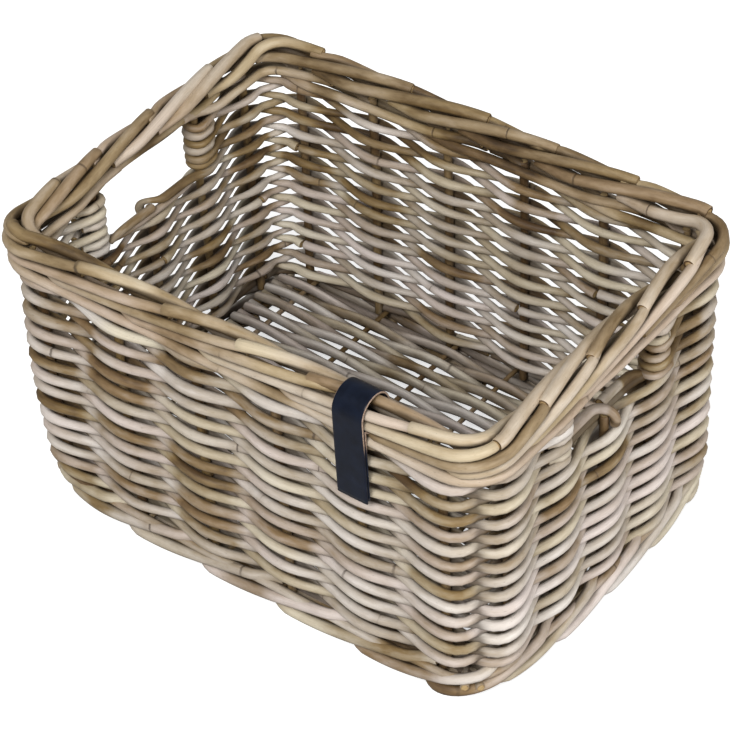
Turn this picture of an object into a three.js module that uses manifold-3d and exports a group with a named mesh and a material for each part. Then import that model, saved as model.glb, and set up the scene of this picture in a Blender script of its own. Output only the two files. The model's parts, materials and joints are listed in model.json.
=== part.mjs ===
// A rectangular bicycle basket woven from rattan rods, with a leather strap looped round its border.
// Millimetres, +Z up, +X along the length, front towards -Y, origin under the middle of the foot.
import * as THREE from 'three';
import { mergeVertices } from 'three/addons/utils/BufferGeometryUtils.js';
import Module from 'manifold-3d';

const wasm = await Module();
wasm.setup();

// Whole basket, measured over the border
const borderLength = 430;
const borderWidth = 312;
const basketHeight = 240;
const borderCornerRadius = 37;

// Walls: how far their middle lies inside the border's middle, and how far they draw in towards the foot
const borderOverhang = 0;
const wallTaper = 3;
const wallCornerRadius = 24;

// Rods, and how many of them make the ropes of the border and of the foot
const borderRods = 4;
const footRods = 3;
const weaverDiameter = 6.2;
const stakeDiameter = 7;
const stickDiameter = 7.2;
const borderRodDiameter = 10;
const footRodDiameter = 6.4;
const seatGap = 0.3;
const weaveGap = 0.5;
const rowGap = 0.45;
const endGap = 2;
const layFactor = 1.07;

// Stakes: counts on a long and on a short wall, and the distance from the corner's round to the first stake
const longWallStakes = 6;
const shortWallStakes = 5;
const stakeInset = 4;

// Hand slots under the border on both short walls, and the rods of the weave
const slotHeight = 40;
const turnsPerRod = 3.5;
const rowsPerBaseRod = 9;
const baseRowPitch = 7.05;
const baseMargin = 1;
const weaverTail = 4;
const footFlat = 0.4;
const footSpread = 2;

// Leather strap: a loop round the front border with two layers hanging down outside
const strapCentre = 108;
const strapWidth = 25;
const strapThickness = 1.9;
const strapDrop = 70;
const strapSlit = 0.4;
const strapSeam = 12;
const strapClearance = 0.4;

// Sides of the rods' sections, points between two stakes, and points of a corner and of a turn back
const weaverSides = 4;
const roundSides = 6;
const ropeSteps = 2;
const cornerShares = [0.25, 0.75];
const waleCornerShares = [0.05, 0.35, 0.65, 0.95];
const turnSteps = 4;
const strapArcSteps = 12;

const rattan = { color: 0xa99a82, roughness: 0.75, metalness: 0 };
const rattanTan = { color: 0x9c8457, roughness: 0.7, metalness: 0 };
const leather = { color: 0x12151d, roughness: 0.42, metalness: 0 };

// Sizes that follow from the driving ones
const weaverRadius = weaverDiameter / 2;
const stakeRadius = stakeDiameter / 2;
const stickRadius = stickDiameter / 2;

// A rod's many-sided section lies flat above and below, so it reaches less far there than sideways
const flatShare = Math.cos(Math.PI / roundSides);

// A rope of n rods: the circle their middles lie on
const ropeCircle = (rods, diameter) => layFactor * (diameter + seatGap) / (2 * Math.sin(Math.PI / rods));
const borderCircle = ropeCircle(borderRods, borderRodDiameter);
const borderRadius = borderCircle + borderRodDiameter / 2;
const borderRise = borderCircle + flatShare * borderRodDiameter / 2;
const borderZ = basketHeight - borderRise;
const footCircle = ropeCircle(footRods, footRodDiameter);
const footRise = footCircle + flatShare * footRodDiameter / 2;
const footZ = footRise - footFlat;
const footTop = footZ + footRise;

const borderHalfLength = borderLength / 2 - borderRadius;
const borderHalfWidth = borderWidth / 2 - borderRadius;
const topHalfLength = borderHalfLength - borderOverhang;
const topHalfWidth = borderHalfWidth - borderOverhang;
const footHalfLength = topHalfLength - wallTaper;
const footHalfWidth = topHalfWidth - wallTaper;

const stakeBottom = footTop + seatGap;
const stakeTop = borderZ - borderRise - seatGap;
const strapInner = borderRadius + strapClearance;
const strapOuter = strapInner + strapThickness;
const strapRoom = borderZ - strapOuter - strapClearance;

// Middle of the wall at a height: half length and half width
const wallShare = (z) => (z - stakeBottom) / (stakeTop - stakeBottom);
const wallHalfLength = (z) => footHalfLength + wallTaper * wallShare(z);
const wallHalfWidth = (z) => footHalfWidth + wallTaper * wallShare(z);

// Weavers pass this far outside or inside the wall's middle
const weaveReach = stakeRadius + weaverRadius + weaveGap;
const waleReach = stakeRadius + weaverRadius + seatGap;
const rowPitch = weaverDiameter + rowGap;
const footWaleZ = stakeBottom + flatShare * weaverRadius + seatGap;
const topWaleZ = strapRoom - flatShare * weaverRadius;
const firstRowZ = footWaleZ + (flatShare + 1) * weaverRadius + seatGap;
const waleUnderside = topWaleZ - flatShare * weaverRadius;

// Two weavers chase each other, so a half turn lifts the weave by a row; both end at the slots
const halfTurns = Math.floor((waleUnderside - slotHeight - firstRowZ) / rowPitch);
const sillZ = firstRowZ + halfTurns * rowPitch;
const slotRows = Math.floor((waleUnderside - seatGap - sillZ - weaverRadius) / rowPitch);

// The four walls in order round the basket: outward normal and direction of travel
const walls = [
  { name: 'left', normal: [-1, 0], travel: [0, -1], long: false },
  { name: 'front', normal: [0, -1], travel: [1, 0], long: true },
  { name: 'right', normal: [1, 0], travel: [0, 1], long: false },
  { name: 'back', normal: [0, 1], travel: [-1, 0], long: true },
];

// Stakes in order, starting at the middle of the left wall; along is the place on the wall's travel
function evenly(count, reach) {
  return Array.from({ length: count }, (_, i) => reach * (2 * i / (count - 1) - 1));
}
const allStakes = walls.flatMap((wall, w) => {
  const reach = (wall.long ? footHalfLength : footHalfWidth) - wallCornerRadius - stakeInset;
  return evenly(wall.long ? longWallStakes : shortWallStakes, reach).map((along, i) => ({
    wall: w,
    along,
    name: `stake_${wall.name}_${i + 1}`,
    middle: !wall.long && 2 * i === shortWallStakes - 1,
  }));
});
const firstStake = allStakes.findIndex((stake) => stake.middle);
const stakes = [...allStakes.slice(firstStake), ...allStakes.slice(0, firstStake)];
const stakeCount = stakes.length;
const oppositeStake = stakeCount / 2;
const stakeAt = (k) => stakes[((k % stakeCount) + stakeCount) % stakeCount];

// Point on a wall: its place along the travel and its distance outside the middle of the basket
function onWall(wall, along, half) {
  const { normal, travel } = walls[wall];
  return new THREE.Vector2(
    normal[0] * half + travel[0] * along,
    normal[1] * half + travel[1] * along,
  );
}

// Point of a rounded rectangle at u, counted in stakes, with the outward normal there
function ringPoint(u, halfLength, halfWidth, radius) {
  const k = Math.floor(u);
  const share = u - k;
  const from = stakeAt(k);
  const to = stakeAt(k + 1);
  const half = (wall) => (walls[wall].long ? halfWidth : halfLength);
  const span = (wall) => (walls[wall].long ? halfLength : halfWidth);
  const normalOf = (wall) => new THREE.Vector2(...walls[wall].normal);
  if (from.wall === to.wall) {
    const along = from.along + (to.along - from.along) * share;
    return { point: onWall(from.wall, along, half(from.wall)), normal: normalOf(from.wall) };
  }
  const before = span(from.wall) - radius - from.along;
  const after = to.along + span(to.wall) - radius;
  const arc = radius * Math.PI / 2;
  const run = share * (before + arc + after);
  if (run <= before) {
    return { point: onWall(from.wall, from.along + run, half(from.wall)), normal: normalOf(from.wall) };
  }
  if (run >= before + arc) {
    const along = to.along - (before + arc + after - run);
    return { point: onWall(to.wall, along, half(to.wall)), normal: normalOf(to.wall) };
  }
  const turn = (run - before) / radius;
  const centre = onWall(from.wall, span(from.wall) - radius, half(from.wall) - radius);
  const normal = normalOf(from.wall).multiplyScalar(Math.cos(turn))
    .add(normalOf(to.wall).multiplyScalar(Math.sin(turn)));
  return { point: centre.addScaledVector(normal, radius), normal };
}

// Point of the wall at stake count u and height z, a distance outside its middle
function wallPoint(u, z, outside) {
  const { point, normal } = ringPoint(u, wallHalfLength(z), wallHalfWidth(z), wallCornerRadius);
  point.addScaledVector(normal, outside);
  return new THREE.Vector3(point.x, point.y, z);
}

// Whether the way from stake k to the next one goes round a corner
const isCorner = (k) => stakeAt(k).wall !== stakeAt(k + 1).wall;

// Stake counts at which a rod from one count to another needs points: stakes, steps between them and corners
function stations(from, to, steps) {
  const counts = new Set([from, to]);
  for (let k = Math.floor(from); k < to; k += 1) {
    for (let i = 0; i < steps; i += 1) counts.add(k + i / steps);
    if (isCorner(k)) cornerShares.forEach((share) => counts.add(k + share));
  }
  return [...counts].filter((u) => u >= from && u <= to).sort((a, b) => a - b);
}

// A rod of a many-sided section along points; its section stands square to the reference direction
function rod(points, radius, sides, reference = new THREE.Vector3(0, 0, 1), closed = false) {
  const count = points.length;
  const positions = [];
  const index = [];
  points.forEach((point, i) => {
    const last = closed ? points[(i + count - 1) % count] : points[Math.max(i - 1, 0)];
    const next = closed ? points[(i + 1) % count] : points[Math.min(i + 1, count - 1)];
    const into = point.clone().sub(last).normalize();
    const out = next.clone().sub(point).normalize();
    const tangent = into.add(out).normalize();
    const side = tangent.clone().cross(reference).normalize();
    const up = side.clone().cross(tangent);
    for (let j = 0; j < sides; j += 1) {
      const angle = 2 * Math.PI * j / sides;
      const vertex = point.clone()
        .addScaledVector(side, radius * Math.cos(angle))
        .addScaledVector(up, radius * Math.sin(angle));
      positions.push(vertex.x, vertex.y, vertex.z);
    }
  });
  const spans = closed ? count : count - 1;
  for (let i = 0; i < spans; i += 1) {
    const a = i * sides;
    const b = ((i + 1) % count) * sides;
    for (let j = 0; j < sides; j += 1) {
      const n = (j + 1) % sides;
      index.push(a + j, b + j, a + n, a + n, b + j, b + n);
    }
  }
  if (!closed) {
    const end = (count - 1) * sides;
    for (let j = 1; j < sides - 1; j += 1) {
      index.push(0, j, j + 1, end, end + j + 1, end + j);
    }
  }
  const geometry = new THREE.BufferGeometry();
  geometry.setAttribute('position', new THREE.Float32BufferAttribute(positions, 3));
  geometry.setIndex(index);
  geometry.computeVertexNormals();
  return geometry;
}

// A closed geometry as a solid for cutting
function solidOf(geometry) {
  const bare = geometry.clone();
  bare.deleteAttribute('normal');
  bare.deleteAttribute('uv');
  const merged = mergeVertices(bare);
  return new wasm.Manifold(new wasm.Mesh({
    numProp: 3,
    vertProperties: new Float32Array(merged.attributes.position.array),
    triVerts: new Uint32Array(merged.index.array),
  }));
}

// The geometry with everything below the floor cut away, which leaves the foot its flat patches
function cutAtFloor(geometry) {
  const block = new THREE.BoxGeometry(2 * borderLength, 2 * borderWidth, 2 * footRise);
  block.translate(0, 0, -footRise);
  const mesh = solidOf(geometry).subtract(solidOf(block)).getMesh();
  const cut = new THREE.BufferGeometry();
  cut.setAttribute('position', new THREE.Float32BufferAttribute(mesh.vertProperties, 3));
  cut.setIndex(Array.from(mesh.triVerts));
  cut.computeVertexNormals();
  return cut;
}

const basket = new THREE.Group();
function add(name, geometry, finish) {
  const mesh = new THREE.Mesh(geometry, new THREE.MeshStandardMaterial(finish));
  mesh.name = name;
  basket.add(mesh);
  return mesh;
}

// A rod that runs from end to end of its points, cut back by half a gap at both ends
function cutRod(points, radius, sides, reference) {
  const cut = (end, inner) => end.clone().addScaledVector(inner.clone().sub(end).normalize(), endGap / 2);
  const last = points.length - 1;
  const run = [cut(points[0], points[1]), ...points.slice(1, last), cut(points[last], points[last - 1])];
  return rod(run, radius, sides, reference);
}

// One rod of a rope that goes once round the basket and winds a share of a turn from stake to stake
function ropeRod(number, rope) {
  const points = stations(0, stakeCount, ropeSteps).map((u) => {
    const { point, normal } = ringPoint(u, rope.halfLength, rope.halfWidth, rope.corner);
    const angle = 2 * Math.PI * (u + number) / rope.rods + rope.start;
    point.addScaledVector(normal, rope.circle * Math.cos(angle));
    return new THREE.Vector3(point.x, point.y, rope.z + rope.circle * Math.sin(angle));
  });
  return cutRod(points, rope.rodRadius, roundSides);
}

// Foot: a rope of rods under the walls, with one rod uppermost at each stake
const foot = {
  rods: footRods,
  circle: footCircle,
  rodRadius: footRodDiameter / 2,
  halfLength: footHalfLength + footSpread,
  halfWidth: footHalfWidth + footSpread,
  corner: wallCornerRadius + footSpread,
  z: footZ,
  start: Math.PI / 2,
};
for (let i = 0; i < footRods; i += 1) add(`foot_rod_${i + 1}`, cutAtFloor(ropeRod(i, foot)), rattan);

// Border: a rope of thicker rods on top of the walls, with one rod lowest at each stake
const border = {
  rods: borderRods,
  circle: borderCircle,
  rodRadius: borderRodDiameter / 2,
  halfLength: borderHalfLength,
  halfWidth: borderHalfWidth,
  corner: borderCornerRadius - borderRadius,
  z: borderZ,
  start: -Math.PI / 2,
};
for (let i = 0; i < borderRods; i += 1) add(`border_rod_${i + 1}`, ropeRod(i, border), rattanTan);

// Stakes stand on the foot and carry the border; the middle ones of the short walls stop at the slot's sill,
// and one under the strap leaves room for its loop
stakes.forEach((stake, k) => {
  const underStrap = walls[stake.wall].name === 'front'
    && Math.abs(stake.along - strapCentre) < strapWidth / 2 + stakeRadius + strapClearance;
  const free = underStrap ? strapRoom : stakeTop;
  const top = stake.middle ? sillZ + weaverRadius : free;
  add(stake.name, rod([wallPoint(k, stakeBottom, 0), wallPoint(k, top, 0)], stakeRadius, roundSides,
    new THREE.Vector3(1, 0, 0)), rattan);
});

// Wales: plain hoops that hold the stakes, one outside at the foot and a pair under the border
function waleHoop(z, outside) {
  const points = [];
  for (let k = 0; k < stakeCount; k += 1) {
    if (isCorner(k)) waleCornerShares.forEach((share) => points.push(wallPoint(k + share, z, outside)));
  }
  return rod(points, weaverRadius, roundSides, undefined, true);
}
add('foot_wale', waleHoop(footWaleZ, waleReach), rattan);
add('top_wale_outer', waleHoop(topWaleZ, waleReach), rattanTan);
add('top_wale_inner', waleHoop(topWaleZ, -waleReach), rattanTan);

// A weaver lies inside every second stake and outside the others; phase 1 is the other way round
const sideAt = (k, phase) => ((k + phase) % 2 === 0 ? -1 : 1);
function weaveOffset(u, phase) {
  const k = Math.floor(u);
  const share = u - k;
  return weaveReach * (sideAt(k, phase) * (1 - share) + sideAt(k + 1, phase) * share);
}

// Walls below the slots: two chasing weavers climb in a double screw, each pieced from several rods
['a', 'b'].forEach((letter, phase) => {
  const start = phase * oppositeStake;
  const finish = start + halfTurns * oppositeStake;
  const rodRun = turnsPerRod * stakeCount;
  for (let i = 0; start + i * rodRun < finish; i += 1) {
    const from = start + i * rodRun;
    const to = Math.min(from + rodRun, finish);
    const points = stations(from, to, 1).map((u) => {
      const z = firstRowZ + 2 * rowPitch * (u - start) / stakeCount;
      return wallPoint(u, z, weaveOffset(u, phase));
    });
    add(`side_weaver_${letter}${i + 1}`, cutRod(points, weaverRadius, weaverSides), rattan);
  }
});

// A turn back round something that passes through the weave: shares of the way and directions of its points
const turnRadius = (reach) => reach / Math.cos(Math.PI / turnSteps / 2);
const turnPoints = Array.from({ length: turnSteps + 1 }, (_, i) => {
  const angle = Math.PI / 2 - Math.PI * i / turnSteps;
  return { share: i / turnSteps, ahead: Math.cos(angle), across: Math.sin(angle) };
});

// Beside a stake: a distance along the wall's travel and a distance outside its middle
function besideStake(k, z, ahead, outside) {
  const { travel } = walls[stakeAt(k).wall];
  const point = wallPoint(k, z, outside);
  return point.add(new THREE.Vector3(travel[0] * ahead, travel[1] * ahead, 0));
}

// Walls beside the slots: one weaver each for the front and the back half turns back round the slot's stakes
['front', 'back'].forEach((half, h) => {
  const start = h * oppositeStake;
  const ends = [start + 1, start + oppositeStake - 1];
  const rowZ = (row, u) => {
    const below = sillZ - rowPitch * (1 - (u - start) / oppositeStake) + weaverRadius;
    return below + (row + 0.5) * (waleUnderside - seatGap - below) / slotRows;
  };
  const points = [];
  for (let row = 0; row < slotRows; row += 1) {
    const forward = row % 2 === 0;
    const phase = (row + h + halfTurns) % 2;
    const last = forward ? ends[1] : ends[0];
    const ahead = forward ? 1 : -1;
    const run = stations(ends[0], ends[1], 1);
    if (!forward) run.reverse();
    const inner = run.slice(1, -1).map((u) => wallPoint(u, rowZ(row, u), weaveOffset(u, phase)));
    if (row === 0) {
      const side = weaveReach * sideAt(ends[0], phase);
      points.push(besideStake(ends[0], rowZ(row, ends[0]), -weaverTail, side));
      points.push(besideStake(ends[0], rowZ(row, ends[0]), 0, side));
    }
    points.push(...inner);
    if (row < slotRows - 1) {
      const radius = turnRadius(weaveReach);
      turnPoints.forEach((turn) => {
        const z = rowZ(row, last) + turn.share * (rowZ(row + 1, last) - rowZ(row, last));
        const across = sideAt(last, phase) * radius * turn.across;
        points.push(besideStake(last, z, ahead * radius * turn.ahead, across));
      });
    } else {
      const side = weaveReach * sideAt(last, phase);
      points.push(besideStake(last, rowZ(row, last), 0, side));
      points.push(besideStake(last, rowZ(row, last), ahead * weaverTail, side));
    }
  }
  add(`slot_weaver_${half}`, rod(points, weaverRadius, weaverSides), rattan);
});

// Base sticks lie on the foot beside the stakes of the long walls
const baseZ = stakeBottom + flatShare * stickRadius;
const stickShift = stakeRadius + stickRadius + seatGap;
const stickReach = wallHalfWidth(baseZ) + waleReach - weaverRadius - rowGap;
const sticks = stakes.filter((stake) => walls[stake.wall].name === 'front')
  .map((stake) => stake.along - Math.sign(stake.along) * stickShift);
sticks.forEach((x, i) => {
  const ends = [-stickReach, stickReach].map((y) => new THREE.Vector3(x, y, baseZ));
  add(`base_stick_${i + 1}`, rod(ends, stickRadius, roundSides), rattan);
});

// Base weavers run along the length over and under the sticks and turn back round the end ones
const baseReach = stickRadius + weaverRadius + weaveGap;
const baseRoom = wallHalfWidth(baseZ) - weaveReach - weaverDiameter - baseMargin;
const baseRows = Math.floor(2 * baseRoom / baseRowPitch) + 1;
const rowY = (row) => (row - (baseRows - 1) / 2) * baseRowPitch;
for (let first = 0; first < baseRows; first += rowsPerBaseRod) {
  const end = Math.min(first + rowsPerBaseRod, baseRows);
  const points = [];
  for (let row = first; row < end; row += 1) {
    const forward = (row - first) % 2 === 0;
    const ahead = forward ? 1 : -1;
    const order = sticks.map((x, i) => ({ x, over: (i + row) % 2 === 0 ? 1 : -1 }));
    if (!forward) order.reverse();
    const height = (stick) => baseZ + stick.over * baseReach;
    const last = order[order.length - 1];
    if (row === first) {
      points.push(new THREE.Vector3(order[0].x - ahead * weaverTail, rowY(row), height(order[0])));
      points.push(new THREE.Vector3(order[0].x, rowY(row), height(order[0])));
    }
    order.slice(1, -1).forEach((stick) => points.push(new THREE.Vector3(stick.x, rowY(row), height(stick))));
    if (row < end - 1) {
      const radius = turnRadius(baseReach);
      turnPoints.forEach((turn) => points.push(new THREE.Vector3(
        last.x + ahead * radius * turn.ahead,
        rowY(row) + turn.share * baseRowPitch,
        baseZ + last.over * radius * turn.across,
      )));
    } else {
      points.push(new THREE.Vector3(last.x, rowY(row), height(last)));
      points.push(new THREE.Vector3(last.x + ahead * weaverTail, rowY(row), height(last)));
    }
  }
  const number = first / rowsPerBaseRod + 1;
  add(`base_weaver_${number}`, rod(points, weaverRadius, weaverSides, new THREE.Vector3(0, 1, 0)), rattan);
}

// Strap: seen along X, a ring round the border whose two layers hang down outside and are joined at the end
function strapProfile() {
  const rear = strapInner - strapSlit - strapThickness;
  const shape = new THREE.Shape();
  shape.moveTo(strapOuter, -strapDrop);
  shape.lineTo(strapOuter, 0);
  shape.absarc(0, 0, strapOuter, 0, 2 * Math.PI - Math.acos(rear / strapOuter), false);
  shape.lineTo(rear, -strapDrop);
  shape.closePath();
  const slit = new THREE.Path();
  slit.moveTo(strapInner, 0);
  slit.absarc(0, 0, strapInner, 0, 2 * Math.PI - Math.acos((strapInner - strapSlit) / strapInner), false);
  slit.lineTo(strapInner - strapSlit, strapSeam - strapDrop);
  slit.lineTo(strapInner, strapSeam - strapDrop);
  slit.closePath();
  shape.holes.push(slit);
  return { shape, rear };
}

// It leans in until its end rests against the outermost weavers
const { shape: strapShape, rear: strapRear } = strapProfile();
const wallFace = wallHalfWidth(borderZ - strapDrop) + weaveReach + weaverRadius - borderHalfWidth;
const strapLean = Math.asin((strapRear - wallFace - strapClearance) / strapDrop);
const strapGeometry = new THREE.ExtrudeGeometry(strapShape, {
  depth: strapWidth, bevelEnabled: false, steps: 1, curveSegments: strapArcSteps,
});
strapGeometry.rotateZ(-strapLean);
const strap = add('label_strap', strapGeometry, leather);
strap.matrixAutoUpdate = false;
strap.matrix.makeBasis(
  new THREE.Vector3(0, -1, 0),
  new THREE.Vector3(0, 0, 1),
  new THREE.Vector3(-1, 0, 0),
).setPosition(strapCentre + strapWidth / 2, -borderHalfWidth, borderZ);

export default basket;
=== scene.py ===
import itertools
import json
from functools import partialmethod
from math import acos, cos, pi, radians, sin

import bpy
import numpy as np
from mathutils import Matrix, Vector


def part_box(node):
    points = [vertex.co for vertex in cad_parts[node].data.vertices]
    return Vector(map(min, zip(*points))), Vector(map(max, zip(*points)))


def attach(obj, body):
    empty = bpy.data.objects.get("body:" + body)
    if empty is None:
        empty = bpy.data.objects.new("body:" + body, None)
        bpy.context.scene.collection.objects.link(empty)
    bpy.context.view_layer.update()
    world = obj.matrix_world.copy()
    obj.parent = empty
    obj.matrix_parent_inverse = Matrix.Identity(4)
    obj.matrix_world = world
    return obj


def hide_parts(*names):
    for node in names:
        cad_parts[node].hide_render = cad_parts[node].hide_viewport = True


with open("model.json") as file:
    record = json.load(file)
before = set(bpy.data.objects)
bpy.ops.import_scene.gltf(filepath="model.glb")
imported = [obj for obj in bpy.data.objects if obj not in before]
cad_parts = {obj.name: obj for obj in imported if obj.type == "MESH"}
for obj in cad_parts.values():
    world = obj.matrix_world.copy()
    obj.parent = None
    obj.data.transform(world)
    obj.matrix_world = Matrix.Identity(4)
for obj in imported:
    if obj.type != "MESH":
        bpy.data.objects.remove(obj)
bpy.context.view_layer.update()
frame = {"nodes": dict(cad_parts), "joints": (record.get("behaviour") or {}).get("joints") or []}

print("frame loaded:", len(frame["nodes"]), "nodes")
metre = 0.001  # everything below is in millimetres until it goes into a mesh
diceOf = np.random.default_rng

# The basket as packed: how far its walls open towards the border, their corners, and the stakes on each wall
basket = {
    "taper": 3.0, "corner": 24.0, "longStakes": 6, "shortStakes": 5, "inset": 4.0, "seatGap": 0.3,
    # how far a hand-made weave strays, over what distance, and between which heights this sets in
    "push": (2.2, 2.2, 1.8), "pushSize": 75.0, "pushSeeds": (21, 22, 23), "pushHeights": (8.0, 58.0),
    # the foot is drawn in and up at each corner
    "tuck": {(-1, -1): (5.0, 10.0), (1, -1): (-10.0, 0.0), (1, 1): (-6.0, -6.0), (-1, 1): (6.0, -6.0)},
    "tuckSize": 46.0, "tuckLift": 3.0, "tuckHeights": (44.0, 6.0),
    # the left front corner bulges
    "belly": 5.0, "bellyWay": (0.8, 0.6), "bellyAt": (-199, -140, 125), "bellySize": (110, 80, 75),
}

# From the frame: the rope of the border, whose middle the strap swings about, and the sticks of the base
hinge = np.array(frame["joints"][0]["pos_m"]) / metre
ropeLow = np.array(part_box("border_rod_1")[0]) / metre
ropeRadius = hinge[1] - ropeLow[1]
sticks = np.array([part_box(f"base_stick_{i + 1}") for i in range(basket["longStakes"])]) / metre
strapBox = np.array(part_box("label_strap")) / metre

# Half length and half width of the border's middle, and of the walls' middle at the stakes' lower ends
borderHalf = np.array([-ropeLow[0] - ropeRadius, -hinge[1]])
wallHalf = borderHalf - basket["taper"]
wallLow, wallHigh = sticks[0, 0, 2], ropeLow[2] - basket["seatGap"]

# Walls in the order left, front, right, back; stakes are counted on from the middle of the left wall
wallNames = ("left", "front", "right", "back")
leftWall, rightWall = 0, 2
wallNormal = np.array([[-1, 0], [0, -1], [1, 0], [0, 1]], float)
wallTravel = np.array([[0, -1], [1, 0], [0, 1], [-1, 0]], float)
wallIsLong = np.array([False, True, False, True])
longReach, shortReach = wallHalf - basket["corner"] - basket["inset"]
longPlaces = np.linspace(-longReach, longReach, basket["longStakes"])
shortPlaces = np.linspace(-shortReach, shortReach, basket["shortStakes"])
toMiddle = -(basket["shortStakes"] // 2)
stakeWall = np.roll(np.repeat(np.arange(4), (basket["shortStakes"], basket["longStakes"]) * 2), toMiddle)
stakePlace = np.roll(np.concatenate([shortPlaces, longPlaces] * 2), toMiddle)
stakeCount = len(stakeWall)
halfRound = stakeCount // 2
cornerCounts = np.flatnonzero(stakeWall != np.roll(stakeWall, -1)) + 0.5

# First seeds of the pieces' random numbers
seeds = {"sides": (100, 140), "slots": (300, 320), "stakes": 400, "wales": (500, 530, 560), "border": 600,
         "foot": 700, "hoops": 760, "stubs": 770, "sticks": 800, "base": 820, "stray": 900}

# The loop of the strap; calm is how far round it the hand-made push stays away
strap = {
    "centre": hinge[0], "width": strapBox[1, 0] - strapBox[0, 0], "thick": 1.9, "drop": 70.0, "slit": 0.4,
    "clearance": 0.4, "rearShort": 1.5, "lean": radians(0.94), "calm": 55.0, "calmBelow": 25.0,
    "frontSteps": 24, "loopSteps": 60, "rearSteps": 20, "around": 32, "squarer": (1 / 7, 0.6),
    # the raw edge: where it lies across, how much of it shows below, and between which heights it grows
    "edge": (11.6, 12.5), "edgeBelow": 0.42, "edgeHeights": (-34.0, -6.0),
}


# Smooth share: three times its square less twice its cube
def ease(share):
    return share * share * (3 - 2 * share)


# Smooth rise from 0 at low to size at high, which may lie below low; lifts, tucks and drops are such triples
def rise(value, low, high, size=1.0):
    return size * ease(np.clip((value - low) / (high - low), 0, 1))


# Random value about a middle, at most half the spread away from it; most tones are such pairs
def vary(dice, middle, spread):
    return middle + spread * (dice.random() - 0.5)


# Value noise: random numbers on a wrapped lattice, blended between corners by smoothed shares
def cloud(points, size, seed, wrap=13):
    table = diceOf(seed).random((wrap, wrap, wrap))
    place = points / size
    cell = np.floor(place).astype(int)
    share = ease(place - cell)
    total = np.zeros(len(points))
    for corner in itertools.product((0, 1), repeat=3):
        at = (cell + corner) % wrap
        weight = np.prod(np.where(corner, share, 1 - share), axis=1)
        total += weight * table[at[:, 0], at[:, 1], at[:, 2]]
    return total


# The same along a line and about 0: random numbers at even steps, blended by smoothed shares
def drift(length, step, seed, wrap=64):
    table = diceOf(seed).random(wrap) - 0.5
    place = length / step
    cell = np.floor(place).astype(int)
    share = ease(place - cell)
    return table[cell % wrap] * (1 - share) + table[(cell + 1) % wrap] * share


# Vectors of length 1
def unit(vectors):
    return vectors / np.linalg.norm(vectors, axis=-1, keepdims=True)


# Power of a wave that keeps its sign
def signedPower(swing, power):
    return np.sign(swing) * np.abs(swing) ** power


# Wave of a weaver between stakes: a cosine to a power a little over 1, so that it leaves a stake sooner
def wave(count, power=1.15):
    return signedPower(np.cos(pi * count), power)


# Smooth run through a few points: each span is a cubic of its two points and their neighbours
def through(points, steps):
    points = np.asarray(points, float)
    padded = np.vstack([2 * points[:1] - points[1:2], points, 2 * points[-1:] - points[-2:-1]])
    t = np.linspace(0, len(points) - 1, (len(points) - 1) * steps + 1)
    k = np.minimum(t.astype(int), len(points) - 2)
    s = (t - k)[:, None]
    a, b, c, d = (padded[k + i] for i in range(4))
    return b + 0.5 * s * (c - a + s * (2 * a - 5 * b + 4 * c - d + s * (3 * (b - c) + d - a)))


# Length along a path: the sum of the steps up to each point
def lengthAlong(path):
    return np.concatenate([[0], np.cumsum(np.linalg.norm(np.diff(path, axis=0), axis=1))])


# The stake nearest to stake count u
def nearStake(u):
    return np.floor(u + 0.5).astype(int) % stakeCount


# Stake counts between u and the middle of the nearest slot
def fromSlot(u):
    return np.abs((u + halfRound / 2) % halfRound - halfRound / 2)


# Rounded rectangle at stake count u: straight along each wall, a quarter circle between two walls
def ringAt(u, halfLength, halfWidth, radius):
    k = np.floor(u).astype(int)
    share = u - k
    a, b = k % stakeCount, (k + 1) % stakeCount
    wallA, wallB = stakeWall[a], stakeWall[b]
    straight = wallA == wallB
    offA = np.where(wallIsLong[wallA], halfWidth, halfLength)
    spanA = np.where(wallIsLong[wallA], halfLength, halfWidth)
    spanB = np.where(wallIsLong[wallB], halfLength, halfWidth)
    before = np.where(straight, 0, spanA - radius - stakePlace[a])
    after = np.where(straight, 0, stakePlace[b] + spanB - radius)
    arc = np.where(straight, 0, radius * pi / 2)
    run = share * np.where(straight, stakePlace[b] - stakePlace[a], before + arc + after)
    turn = np.where(straight, 0, np.clip((run - before) / radius, 0, pi / 2))
    alongA = stakePlace[a] + np.where(straight, run, np.minimum(run, before))
    alongB = np.where(straight, 0, np.maximum(run - before - arc, 0))
    normal = wallNormal[wallA] * np.cos(turn)[:, None] + wallNormal[wallB] * np.sin(turn)[:, None]
    point = wallNormal[wallA] * (offA - radius)[:, None] + wallTravel[wallA] * alongA[:, None]
    point = point + normal * radius + wallTravel[wallB] * alongB[:, None]
    return point, normal


# Point of the wall at stake count u and height z, a distance outside the wall's middle
def wallAt(u, z, outside):
    u, z, outside = (values.astype(float) for values in np.broadcast_arrays(u, z, outside))
    grow = basket["taper"] * (z - wallLow) / (wallHigh - wallLow)
    point, normal = ringAt(u, wallHalf[0] + grow, wallHalf[1] + grow, basket["corner"])
    point = point + normal * outside[:, None]
    return np.column_stack([point, z])


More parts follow.
